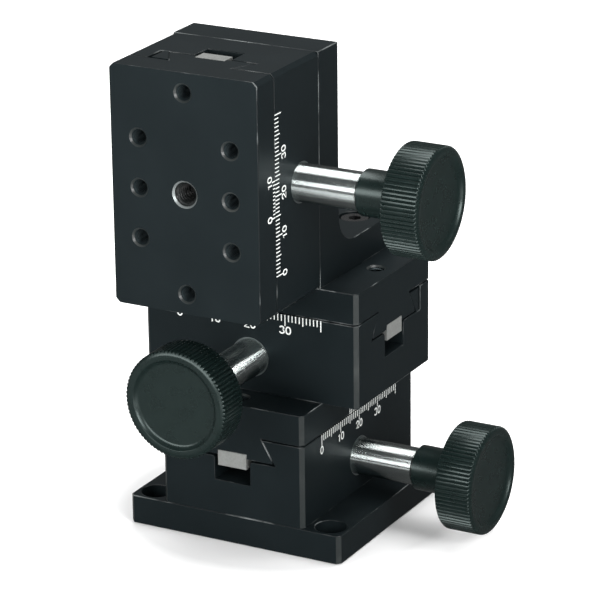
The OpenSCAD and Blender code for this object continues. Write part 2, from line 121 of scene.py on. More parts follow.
@dataclass(frozen=True)
class StageFrame:
    """Where one stage sits: its own frame, in millimetres, against the row frame.

    The stage's own frame has its origin in the middle of the base's underside, x towards the
    knob, y along the travel and z towards the table's face.
    """

    axis: Axis
    origin: Triple

    @classmethod
    def measured(cls, axis: Axis) -> StageFrame:
        """Reads a stage's place from the box of its base.

        Args:
            axis: Which stage.

        Returns:
            The stage's frame, its origin in millimetres.
        """
        low, high = (np.array(corner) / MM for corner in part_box(f"{axis.stage}_base"))
        up = axis.turn[:, 2]
        middle = (low + high) / 2
        half = np.abs(up @ (high - low)) / 2
        return cls(axis, tuple(middle - up * half))

    def node(self, piece: str) -> str:
        """The name of one of this stage's nodes."""
        return f"{self.axis.stage}_{piece}"

    def to_row(self, points: np.ndarray) -> np.ndarray:
        """Turns points in the stage's frame, in millimetres, into row-frame metres.

        Args:
            points: Array of any shape whose last axis is x, y, z.

        Returns:
            An array of the same shape.
        """
        return (points @ self.axis.turn.T + np.array(self.origin)) * MM


@dataclass
class Socket:
    """A shader socket that can be added, subtracted and multiplied like a number."""

    graph: Graph
    link: bpy.types.NodeSocket

    def __add__(self, other: float | Socket) -> Socket:
        """self + other."""
        return self.graph.math("ADD", self, other)

    def __sub__(self, other: float | Socket) -> Socket:
        """self - other."""
        return self.graph.math("SUBTRACT", self, other)

    def __rsub__(self, other: float) -> Socket:
        """other - self."""
        return self.graph.math("SUBTRACT", other, self)

    def __mul__(self, other: float | Socket) -> Socket:
        """self * other."""
        return self.graph.math("MULTIPLY", self, other)

    __radd__ = __add__
    __rmul__ = __mul__


@dataclass
class Graph:
    """The node graph of one material, in which one method adds every node."""

    name: str
    material: Material = field(init=False)

    def __post_init__(self) -> None:
        """Makes the material and empties its graph."""
        self.material = bpy.data.materials.new(self.name)
        self.material.use_nodes = True
        self.material.node_tree.nodes.clear()

    def node(
        self,
        kind: str,
        settings: dict[str, object] | None = None,
        inputs: dict[str | int, object] | None = None,
        output: str | int = 0,
    ) -> Socket | None:
        """Adds a node, sets its settings, then fills its sockets.

        Args:
            kind: The node's type, without the words ShaderNode.
            settings: Attributes of the node.
            inputs: Values or sockets by input name or number.
            output: Which output to return.

        Returns:
            The output socket, wrapped, or None for a node without one.
        """
        made = self.material.node_tree.nodes.new("ShaderNode" + kind)
        for key, value in (settings or {}).items():
            setattr(made, key, value)
        for key, value in (inputs or {}).items():
            socket = made.inputs[key]
            if isinstance(value, Socket):
                self.material.node_tree.links.new(value.link, socket)
            else:
                socket.default_value = value
        return Socket(self, made.outputs[output]) if made.outputs else None

    def math(self, operation: str, *values: float | Socket) -> Socket:
        """A Math node on numbers and sockets."""
        return self.node("Math", {"operation": operation}, dict(enumerate(values)))

    def vector(self, operation: str, *values: object, output: str | int = 0) -> Socket:
        """A Vector Math node on vectors and sockets."""
        return self.node("VectorMath", {"operation": operation}, dict(enumerate(values)), output)

    def ramp(self, value: Socket, start: float, end: float) -> Socket:
        """0 up to a start value, 1 from an end value on, and even between them."""
        return self.node("MapRange", inputs={"Value": value, "From Min": start, "From Max": end})

    def place(self) -> Socket:
        """Object coordinates, in metres."""
        return self.node("TexCoord", output="Object")

    def mix(self, share: Socket | float, low: tuple, high: tuple) -> Socket:
        """A colour between two colours.

        Args:
            share: 0 for the low colour and 1 for the high one.
            low: Linear red, green and blue.
            high: Linear red, green and blue.

        Returns:
            The mixed colour.
        """
        inputs = {0: share, 6: (*low, 1), 7: (*high, 1)}
        return self.node("Mix", {"data_type": "RGBA"}, inputs, output=2)

    def noise(self, where: Socket, per_mm: float, detail: float = 3.0) -> Socket:
        """Smooth noise between 0 and 1, with about per_mm lumps to the millimetre."""
        inputs = {"Vector": where, "Scale": per_mm / MM, "Detail": detail}
        return self.node("TexNoise", inputs=inputs)

    def scaled(self, where: Socket, factors: Triple) -> Socket:
        """Coordinates stretched along each axis, for a grain that runs one way."""
        return self.node("Mapping", {"vector_type": "POINT"}, {"Vector": where, "Scale": factors})

    def bump(self, height: Socket, depth: float, strength: float = 1.0) -> Socket:
        """A normal that follows a height, one unit of which stands for depth in millimetres."""
        inputs = {"Strength": strength, "Distance": depth * MM, "Height": height}
        return self.node("Bump", inputs=inputs)

    def finish(self, **sockets: object) -> Material:
        """Ends the graph in a Principled shader.

        Args:
            sockets: The shader's inputs, with underscores for the spaces of their names.

        Returns:
            The material.
        """
        inputs = {key.replace("_", " "): value for key, value in sockets.items()}
        shader = self.node("BsdfPrincipled", inputs=inputs)
        self.node("OutputMaterial", inputs={"Surface": shader})
        return self.material


@dataclass(frozen=True)
class Anodised:
    """Black anodised aluminium, with a milled grain and faint mottling."""

    name: str = "black_anodised"
    dark: Triple = (0.0036, 0.0056, 0.0064)
    light: Triple = (0.0068, 0.0098, 0.0110)
    shine: Triple = (0.74, 0.94, 1.0)
    roughness: float = 0.40
    specular: float = 0.20
    spread: float = 0.16
    patches_per_mm: float = 0.09
    specks_per_mm: float = 3.0
    patch_share: float = 0.7
    grain: float = 0.05
    grain_depth: float = 0.05
    grain_per_mm: float = 4.0
    drawn_out: float = 0.04

    def material(self) -> Material:
        """Mottled black with two fine grains, one drawn out along z and one along x."""
        graph = Graph(self.name)
        where = graph.place()
        patches = graph.noise(where, self.patches_per_mm, 4)
        specks = graph.noise(where, self.specks_per_mm, 2)
        tone = patches * self.patch_share + specks * (1 - self.patch_share)
        upright, level = (
            graph.noise(graph.scaled(where, factors), self.grain_per_mm, 3)
            for factors in ((1, 1, self.drawn_out), (self.drawn_out, 1, 1))
        )
        return graph.finish(
            Base_Color=graph.mix(tone, self.dark, self.light),
            Roughness=self.roughness + (tone - 0.5) * self.spread,
            Specular_IOR_Level=self.specular,
            Specular_Tint=(*self.shine, 1),
            Normal=graph.bump(upright * 0.5 + level * 0.5, self.grain_depth, self.grain),
        )


@dataclass(frozen=True)
class BrokenEdge:
    """Anodised aluminium on broken edges, chamfers and threads, lighter in patches. On the broken
    edges the patches are partly wear and partly painted highlight; the chamfers' lighter colour is a
    painted highlight.
    """

    name: str = "edge_wear_and_highlight"
    dark: Triple = (0.007, 0.010, 0.011)
    # the light colour is partly edge wear and partly painted highlight
    light: Triple = (0.185, 0.200, 0.200)
    roughness: float = 0.34
    specular: float = 0.22
    per_mm: float = 0.12
    start: float = 0.52
    end: float = 0.74
    spread: float = 0.12

    def material(self) -> Material:
        """Grey-black that is lighter in patches: partly wear, as a hand-broken edge is, and partly
        painted highlight.

        The lighter patches are noise between a start and an end level, stretched to run from 0 to 1.
        """
        graph = Graph(self.name)
        where = graph.place()
        cloud = graph.noise(where, self.per_mm, 5)
        # painted highlight: the lighter patches stand in partly for light caught on the edges, partly
        # for wear
        tone = graph.ramp(cloud, self.start, self.end)
        return graph.finish(
            Base_Color=graph.mix(tone, self.dark, self.light),
            Roughness=self.roughness + tone * self.spread,
            Specular_IOR_Level=self.specular,
        )


@dataclass(frozen=True)
class KnobBlack:
    """Anodised knob: turned, so fine rings run round its axis."""

    name: str
    centre: Triple
    axis: Triple
    dark: Triple = (0.0026, 0.0062, 0.0057)
    light: Triple = (0.0048, 0.0102, 0.0095)
    shine: Triple = (0.84, 1.0, 0.97)
    roughness: float = 0.28
    specular: float = 0.48
    spread: float = 0.12
    mottle_per_mm: float = 0.25
    rings_per_mm: float = 6.0
    ring_share: float = 0.35
    grain_per_mm: float = 5.0
    grain_depth: float = 0.05
    grain: float = 0.05

    def material(self) -> Material:
        """Dark green-black with rings in the distance from the knob's axis.

        The distance is the length of what is left of the place, less the centre, when its part
        along the axis is taken away.
        """
        graph = Graph(self.name)
        where = graph.place()
        centre = tuple(part * MM for part in self.centre)
        keep = tuple(1.0 - abs(a) for a in self.axis)
        flat = graph.vector("MULTIPLY", graph.vector("SUBTRACT", where, centre), keep)
        radius = graph.vector("LENGTH", flat, output="Value")
        rings = graph.math("SINE", radius * (TAU * self.rings_per_mm / MM))
        tone = graph.noise(where, self.mottle_per_mm, 4)
        height = rings * self.ring_share + graph.noise(where, self.grain_per_mm, 2)
        return graph.finish(
            Base_Color=graph.mix(tone, self.dark, self.light),
            Roughness=self.roughness + (tone - 0.5) * self.spread,
            Specular_IOR_Level=self.specular,
            Specular_Tint=(*self.shine, 1),
            Normal=graph.bump(height, self.grain_depth, self.grain),
        )


@dataclass(frozen=True)
class Metal:
    """Bare or plated metal, mottled by a fine grain and a slow cloud."""

    name: str
    dark: Triple
    light: Triple
    roughness: float
    per_mm: float = 2.0
    cloud_per_mm: float = 0.3
    grain_share: float = 0.6
    spread: float = 0.10
    metallic: float = 1.0
    relief: float = 0.001

    def material(self) -> Material:
        """Metal whose colour and gloss follow the grain and the cloud, and its relief the grain."""
        graph = Graph(self.name)
        where = graph.place()
        grain = graph.noise(where, self.per_mm, 4)
        cloud = graph.noise(where, self.cloud_per_mm, 2)
        tone = grain * self.grain_share + cloud * (1 - self.grain_share)
        return graph.finish(
            Base_Color=graph.mix(tone, self.dark, self.light),
            Roughness=self.roughness + (tone - 0.5) * self.spread,
            Metallic=self.metallic,
            Normal=graph.bump(grain, self.relief),
        )


@dataclass(frozen=True)
class TurnedPlating:
    """Bright plating over fine turning marks, which draw each highlight out along the sleeve."""

    name: str
    axis: Triple
    dark: Triple = (0.50, 0.55, 0.54)
    light: Triple = (0.66, 0.71, 0.70)
    roughness: float = 0.15
    spread: float = 0.08
    marks_per_mm: float = 4.6
    relief: float = 0.017
    drift_per_mm: float = 1.3
    cloud_per_mm: float = 0.35
    cloud_share: float = 0.6

    def material(self) -> Material:
        """Plating whose height is a sine of the place along the axis.

        The marks are finer than can be seen one by one, and a slow noise mottles the colour.
        """
        graph = Graph(self.name)
        where = graph.place()
        along = graph.vector("DOT_PRODUCT", where, self.axis, output="Value")
        lengthways = graph.scaled(where, tuple(abs(a) for a in self.axis))
        drift = graph.noise(lengthways, self.drift_per_mm, 3)
        marks = graph.math("SINE", along * (TAU * self.marks_per_mm / MM))
        cloud = graph.noise(where, self.cloud_per_mm, 3)
        tone = cloud * self.cloud_share + drift * (1 - self.cloud_share)
        return graph.finish(
            Base_Color=graph.mix(tone, self.dark, self.light),
            Roughness=self.roughness + (tone - 0.5) * self.spread,
            Metallic=1.0,
            Normal=graph.bump(marks, self.relief),
        )


@dataclass(frozen=True)
class Paint:
    """The white filler of the engraved lines and numbers."""

    name: str = "scale_white"
    dark: Triple = (0.50, 0.53, 0.51)
    light: Triple = (0.78, 0.80, 0.78)
    roughness: float = 0.55
    spread: float = 0.2
    per_mm: float = 2.5

    def material(self) -> Material:
        """Chalky white, thinner in places."""
        graph = Graph(self.name)
        tone = graph.noise(graph.place(), self.per_mm, 4)
        return graph.finish(
            Base_Color=graph.mix(tone, self.dark, self.light),
            Roughness=self.roughness + tone * self.spread,
        )


def make_object(name: str, points: np.ndarray, faces: np.ndarray) -> Object:
    """Puts arrays of points and equal-sided faces into a new mesh object.

    Args:
        name: The object's name.
        points: (n, 3) row-frame metres.
        faces: (m, k) point numbers, k corners a face.

    Returns:
        The linked object.
    """
    mesh = bpy.data.meshes.new(name)
    count, corners = faces.shape
    mesh.vertices.add(len(points))
    mesh.vertices.foreach_set("co", points.astype(np.float32).ravel())
    mesh.loops.add(count * corners)
    mesh.loops.foreach_set("vertex_index", faces.astype(np.int32).ravel())
    mesh.polygons.add(count)
    mesh.polygons.foreach_set("loop_start", np.arange(0, count * corners, corners, dtype=np.int32))
    mesh.polygons.foreach_set("use_smooth", np.ones(count, bool))
    mesh.update(calc_edges=True)
    mesh.validate()
    made = bpy.data.objects.new(name, mesh)
    bpy.context.scene.collection.objects.link(made)
    return made


def wrapped_faces(rows: int, columns: int, close_rows: bool, close_columns: bool) -> np.ndarray:
    """Quads of a grid of points, each joined to the next row and the next column.

    Args:
        rows: Number of rows.
        columns: Number of columns.
        close_rows: Whether the last row joins the first.
        close_columns: Whether the last column joins the first.

    Returns:
        (m, 4) point numbers, where point number is row * columns + column.
    """
    row = np.arange(rows if close_rows else rows - 1)
    column = np.arange(columns if close_columns else columns - 1)
    r, c = (grid.ravel() for grid in np.meshgrid(row, column, indexing="ij"))
    r_next, c_next = (r + 1) % rows, (c + 1) % columns
    return np.stack(
        [r * columns + c, r * columns + c_next, r_next * columns + c_next, r_next * columns + c], 1
    )


def facing_out(made: Object) -> Object:
    """Recalculates a closed mesh's normals so that they point outwards."""
    work = bmesh.new()
    work.from_mesh(made.data)
    bmesh.ops.remove_doubles(work, verts=work.verts, dist=WELD)
    bmesh.ops.recalc_face_normals(work, faces=work.faces)
    work.to_mesh(made.data)
    work.free()
    return made


def smooth_by_angle(made: Object, degrees: float) -> None:
    """Shades a mesh smooth, with its edges sharp where faces meet at more than an angle."""
    made.data.shade_smooth()
    made.data.set_sharp_from_angle(angle=math.radians(degrees))


def join_parts(name: str, parts: list[Skin]) -> Object:
    """One object from several sets of points and faces.

    Args:
        name: The object's name.
        parts: Pairs of points and faces, all with as many corners to a face.

    Returns:
        The object.
    """
    offsets = np.cumsum([0] + [len(points) for points, _ in parts[:-1]])
    points = np.concatenate([points for points, _ in parts])
    faces = np.concatenate([faces + offset for (_, faces), offset in zip(parts, offsets)])
    return make_object(name, points, faces)


def revolved(
    name: str, stage: StageFrame, axis_z: float, x: np.ndarray, radius: np.ndarray,
    turn: np.ndarray, tube: bool,
) -> Object:
    """A surface round a line that runs along a stage's x, with its faces outwards.

    A point lies its radius away from the line: y is the radius times the turn's cosine, and z
    the radius times its sine above the line.

    Args:
        name: The object's name.
        stage: The stage's frame.
        axis_z: The height of the line.
        x: Places along the line.
        radius: The radius at each place and turn, one row a place.
        turn: Angles round the line.
        tube: Whether the last place joins the first.

    Returns:
        The object.
    """
    points = np.stack([
        np.broadcast_to(x[:, None], radius.shape),
        radius * np.cos(turn),
        radius * np.sin(turn) + axis_z,
    ], -1)
    faces = wrapped_faces(len(x), len(turn), tube, True)
    return facing_out(make_object(name, stage.to_row(points).reshape(-1, 3), faces))


@dataclass
class Block:
    """A machined block: a copy of its solid with broken edges, standing in for the solid.

    Points nearer than the weld are merged, and faces within the flat angle are joined. A normal
    counts as midway between two axes within the slack.
    """

    node: str
    body: str
    stage: StageFrame | None = None
    edge: float = 0.2
    crease: float = 55.0
    smooth: float = 30.0
    ring_x: float = 19.8
    ring_r: Pair = (4.7, 5.4)
    top: float = TABLE_TOP
    mouth: Pair = (0.02, 0.5)
    middle_r: float = 4.0
    upright_area: float = 5.0
    slack: float = 0.02
    level_z: float = 0.1
    slant: Pair = (0.5, 0.9)
    weld: float = 0.002
    flat: float = 0.6

    def _mark(self, work: bmesh.types.BMesh) -> None:
        """Weighs the outward edges for the bevel and gives chamfers a painted highlight.

        An upright corner chamfer is a large face whose level normal lies at 45 degrees between
        two of the axes; only these upright ones get the painted highlight, as the light falls on
        them, and chamfers facing upwards stay as dark as the faces. The chamfers round the sleeve's
        bore and at the mouths of the table's tapped holes are found by their place and their slant;
        the small mouths get the painted highlight as well.
        """
        weight = work.edges.layers.float.new("bevel_weight_edge")
        for edge in work.edges:
            sharp = edge.is_manifold and edge.calc_face_angle() > math.radians(self.crease)
            edge[weight] = float(sharp and edge.is_convex)
        for face in work.faces:
            parts = sorted(abs(part) for part in face.normal)
            slanted = parts[0] < self.slack and abs(parts[1] - parts[2]) < self.slack
            upright = abs(face.normal.z) < self.level_z
            # painted highlight: upright corner chamfers, on which the light falls, get the lighter
            # chamfer finish
            if slanted and upright and face.calc_area() > self.upright_area * MM * MM:
                face.material_index = CHAMFER_HIGHLIGHT
        if self.stage is None:
            return
        middle = Vector(self.stage.to_row(np.array([self.ring_x, 0, SHAFT_Z])))
        face_middle = Vector(self.stage.to_row(np.array([0, 0, self.top])))
        out, up = (Vector(self.stage.axis.turn[:, column]) for column in (0, 2))
        least, most = self.slant
        for face in work.faces:
            centre = face.calc_center_median()
            away = (centre - middle).length / MM
            if self.ring_r[0] < away < self.ring_r[1] and least < face.normal.dot(out) < most:
                face.material_index = RING
            drop = (face_middle - centre).dot(up) / MM
            mouth = self.mouth[0] < drop < self.mouth[1]
            # painted highlight on the small holes' mouths; the middle hole's mouth gets the cut ring
            if mouth and least < face.normal.dot(up) < most:
                near = (centre - face_middle).length / MM < self.middle_r
                face.material_index = RING if near else CHAMFER_HIGHLIGHT

    def build(self, finishes: list[Material]) -> Object:
        """Copies the solid's mesh, merges it and breaks its sharp edges.

        Args:
            finishes: The materials, in the order of BLOCK_FINISHES.

        Returns:
            The block.
        """
        mesh = bpy.data.objects[self.node].data.copy()
        made = bpy.data.objects.new(f"{self.node}_block", mesh)
        bpy.context.scene.collection.objects.link(made)
        work = bmesh.new()
        work.from_mesh(mesh)
        bmesh.ops.remove_doubles(work, verts=work.verts, dist=self.weld * MM)
        bmesh.ops.dissolve_limit(
            work, angle_limit=math.radians(self.flat), verts=work.verts, edges=work.edges
        )
        mesh.materials.clear()
        for finish in finishes:
            mesh.materials.append(finish)
        for polygon in work.faces:
            polygon.material_index = FACE
        self._mark(work)
        work.to_mesh(mesh)
        work.free()
        packed = mesh.attributes.get("custom_normal")
        if packed is not None:
            mesh.attributes.remove(packed)
        smooth_by_angle(made, self.smooth)
        bevel = made.modifiers.new("broken_edges", "BEVEL")
        bevel.width = self.edge * MM
        bevel.segments = 2
        bevel.limit_method = "WEIGHT"
        bevel.use_clamp_overlap = False
        bevel.harden_normals = True
        # the bevel faces take the edge finish, whose lighter patches are partly painted highlight
        bevel.material = EDGE_WEAR_AND_HIGHLIGHT
        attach(made, self.body)
        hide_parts(self.node)
        return made


@dataclass
class Sleeve:
    """The plated sleeve, turned: a tube whose outer end is rounded."""

    stage: StageFrame
    body: str
    radius: float = 4.75
    inside: float = 2.53
    start: float = 5.0
    end: float = 36.8
    axis_z: float = SHAFT_Z
    edge: float = 0.3
    edge_rows: int = 5
    around: int = 96
    crease: float = 35.0

    def build(self, finish: Material) -> Object:
        """Revolves the tube's closed section, whose outer end is a quarter round.

        Args:
            finish: The sleeve's material.

        Returns:
            The sleeve.
        """
        bend = np.linspace(0, math.pi / 2, self.edge_rows)
        x = np.concatenate([
            [self.start], self.end - self.edge + self.edge * np.sin(bend), [self.end, self.start]
        ])
        r = np.concatenate([
            [self.radius], self.radius - self.edge + self.edge * np.cos(bend),
            [self.inside, self.inside],
        ])
        turn = np.linspace(0, TAU, self.around, endpoint=False)
        radius = np.repeat(r[:, None], self.around, 1)
        name = self.stage.node("sleeve")
        made = revolved(f"{name}_tube", self.stage, self.axis_z, x, radius, turn, True)
        smooth_by_angle(made, self.crease)
        made.data.materials.append(finish)
        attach(made, self.body)
        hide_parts(name)
        return made


@dataclass
class Knob:
    """The knurled knob: neck, head with straight knurls, raised rim and sunk disc.

    The neck's flare and the head's rear edge are pairs: how far past the neck's length, and how
    far out of the neck's radius or short of the head's.
    """

    stage: StageFrame
    body: str
    start: float = 37.1
    axis_z: float = SHAFT_Z
    neck_r: float = 5.75
    neck_l: float = 10.7
    head_r: float = 13.75
    head_t: float = 9.6
    knurls: int = 80
    knurl_depth: float = 0.45
    rim_chamfer: float = 1.0
    rim_run: float = 0.6
    rim_w: float = 1.25
    disc_r: float = 10.15
    disc_depth: float = 1.0
    neck_chamfer: float = 0.4
    neck_flare: tuple[Pair, ...] = ((-0.35, 0.0), (-0.1, 0.1), (0.0, 0.35))
    rear_edge: tuple[Pair, ...] = ((0.0, 0.55), (0.1, 0.3), (0.22, 0.13), (0.45, 0.0))
    rim_rows: int = 7
    rim_power: float = 1.25
    rim_lip: Pair = (0.03, 0.06)
    bowl_rows: int = 8
    bowl_power: float = 1.7
    ridge: tuple[float, ...] = (-0.5, -0.42, -0.32, -0.22, 0.0, 0.22, 0.32, 0.42)
    ridge_top: float = 0.16
    crease: float = 40.0

    def _profile(self) -> tuple[np.ndarray, np.ndarray]:
        """Places and radii along the knob, from the neck's rear end to the disc's centre.

        Straight runs are sampled where knurls need rows. The bowl between rim and disc is a
        hollow whose foot flattens into the disc: its depth follows a power of the way down.

        Returns:
            Places from the neck's rear end, and the radius at each.
        """
        face = self.neck_l + self.head_t
        down = np.linspace(0, 1, self.bowl_rows + 1)[1:]
        over = np.linspace(0, 1, self.rim_rows)
        front_x = face - self.rim_run + self.rim_run * over
        front_r = self.head_r - self.rim_chamfer * over ** self.rim_power
        rim_in = self.head_r - self.rim_chamfer - self.rim_w
        rear = self.neck_chamfer
        steps = [(0.0, 0.0), (0.0, self.neck_r - rear), (rear, self.neck_r)]
        steps += [(self.neck_l + along, self.neck_r + out) for along, out in self.neck_flare]
        steps += [(self.neck_l + along, self.head_r - short) for along, short in self.rear_edge]
        rear_x, rear_r = np.array(steps).T
        lip_x, lip_r = self.rim_lip
        floor = face - self.disc_depth
        bowl_x = face - self.disc_depth * (1 - (1 - down) ** self.bowl_power)
        bowl_r = rim_in + (self.disc_r - rim_in) * down
        disc = [self.disc_r / 2, 0.0]
        x = np.concatenate([rear_x, front_x, [face, face - lip_x], bowl_x, [floor, floor]])
        r = np.concatenate([rear_r, front_r, [rim_in + lip_r, rim_in], bowl_r, disc])
        return x, r

    def _outline(self) -> tuple[np.ndarray, np.ndarray]:
        """Angles round the head and the knurled radius at each.

        A knurl's ridge is round on top and drops to a round-bottomed groove: the depth is a
        smooth step in the distance from the middle of the ridge.

        Returns:
            Angles in radians, and the radius at each.
        """
        across = np.array(self.ridge)
        share = np.clip((np.abs(across) - self.ridge_top) / (0.5 - self.ridge_top), 0, 1)
        drop = share * share * (3 - 2 * share) * self.knurl_depth
        turn = (np.arange(self.knurls)[:, None] + across).ravel() * TAU / self.knurls
        return turn, self.head_r - np.tile(drop, self.knurls)

    def build(self, finish: Material) -> Object:
        """A surface of revolution whose radius is cut back to the knurled outline.

        The radius at a place along the axis and an angle is the lesser of the turned profile and
        the knurls, so the grooves run out on the chamfers as cut ones do.

        Args:
            finish: The knob's material.

        Returns:
            The knob.
        """
        x, r = self._profile()
        turn, knurled = self._outline()
        radius = np.minimum(r[:, None], knurled[None, :])
        x = x + self.start
        name = self.stage.node("knob")
        made = revolved(f"{name}_turned", self.stage, self.axis_z, x, radius, turn, False)
        smooth_by_angle(made, self.crease)
        made.data.materials.append(finish)
        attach(made, self.body)
        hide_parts(name)
        return made


@dataclass(frozen=True)
class Thread:
    """One size of thread: its hole's radius, its pitch and its depth below the mouth.

    The ridges of a through thread end just short of the table's underside, and those of a blind
    one a little above the hole's floor.
    """

    major: float
    lead: float
    depth: float
    through: bool = False


@dataclass
class Threads:
    """The threads of a table's tapped holes, as ridged sleeves just inside the holes.

    The flank and the root shape the wave of a ridge. A ridge's height and the run in which it
    fades out are shares of the pitch.
    """

    stage: StageFrame
    body: str
    middle: Thread = Thread(3.0, 1.0, 9.3)
    side: Thread = Thread(2.0, 0.7, 7.5, through=True)
    end: Thread = Thread(2.0, 0.7, 7.4)
    top: float = TABLE_TOP
    mouth: float = 0.45
    pitch_xy: float = 12.5
    end_y: float = 25.0
    around: int = 32
    rows_per_turn: int = 8
    short_of_underside: float = 0.02
    short_of_floor: float = 0.3
    flank: float = 1.5
    root: float = 0.2
    fade_leads: float = 0.6
    ridge_share: float = 0.54
    bore_gap: float = 0.03
    back_gap: float = 0.008
    crease: float = 20.0

    def _ridges(self, at: Pair, thread: Thread) -> Skin:
        """One threaded sleeve: its bore is a helix, its back a plain cylinder inside the hole.

        The bore's radius is the hole's radius less the ridge's height times a triangle wave of
        the height in leads less the turn, so one ridge climbs a lead in a turn. The wave is cut
        off to a flat root and crest, and the ridge fades out under the mouth.

        Args:
            at: The hole's middle.
            thread: The thread's size.

        Returns:
            Points and faces in row-frame metres.
        """
        lead = thread.lead
        rows = int(thread.depth / lead * self.rows_per_turn) + 1
        high = self.top - self.mouth
        short = self.short_of_underside if thread.through else self.short_of_floor
        z = np.linspace(high - thread.depth + short, high, rows)
        turn = np.linspace(0, TAU, self.around, endpoint=False)
        phase = z[:, None] / lead - turn / TAU
        wave = np.abs(((phase % 1.0) - 0.5) * 2)
        ridge = np.clip(wave * self.flank - self.root, 0, 1)
        fade = np.clip((high - z) / (lead * self.fade_leads), 0, 1)[:, None]
        bore = thread.major - self.bore_gap - ridge * self.ridge_share * lead * fade
        back = np.full((2, self.around), thread.major - self.back_gap)
        radius = np.concatenate([bore, back])
        height = np.concatenate([z, [z[-1], z[0]]])
        points = np.stack([
            radius * np.cos(turn) + at[0],
            radius * np.sin(turn) + at[1],
            np.broadcast_to(height[:, None], radius.shape),
        ], -1)
        faces = wrapped_faces(len(height), self.around, True, True)
        return self.stage.to_row(points).reshape(-1, 3), faces

    def build(self, large: Material, others: Material) -> Object:
        """The large blind thread in the middle, six through threads and two blind end threads.

        Args:
            large: The material of the middle thread.
            others: The material of the rest.

        Returns:
            The threads.
        """
        parts = [self._ridges((0, 0), self.middle)]
        for side in (-1, 1):
            for along in (-1, 0, 1):
                at = (side * self.pitch_xy, along * self.pitch_xy)
                parts.append(self._ridges(at, self.side))
            parts.append(self._ridges((0, side * self.end_y), self.end))
        made = join_parts(self.stage.node("threads"), parts)
        rest = np.arange(len(made.data.polygons)) >= len(parts[0][1])
        made.data.materials.append(large)
        made.data.materials.append(others)
        made.data.polygons.foreach_set("material_index", rest.astype(np.int32))
        facing_out(made)
        smooth_by_angle(made, self.crease)
        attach(made, self.body)
        return made


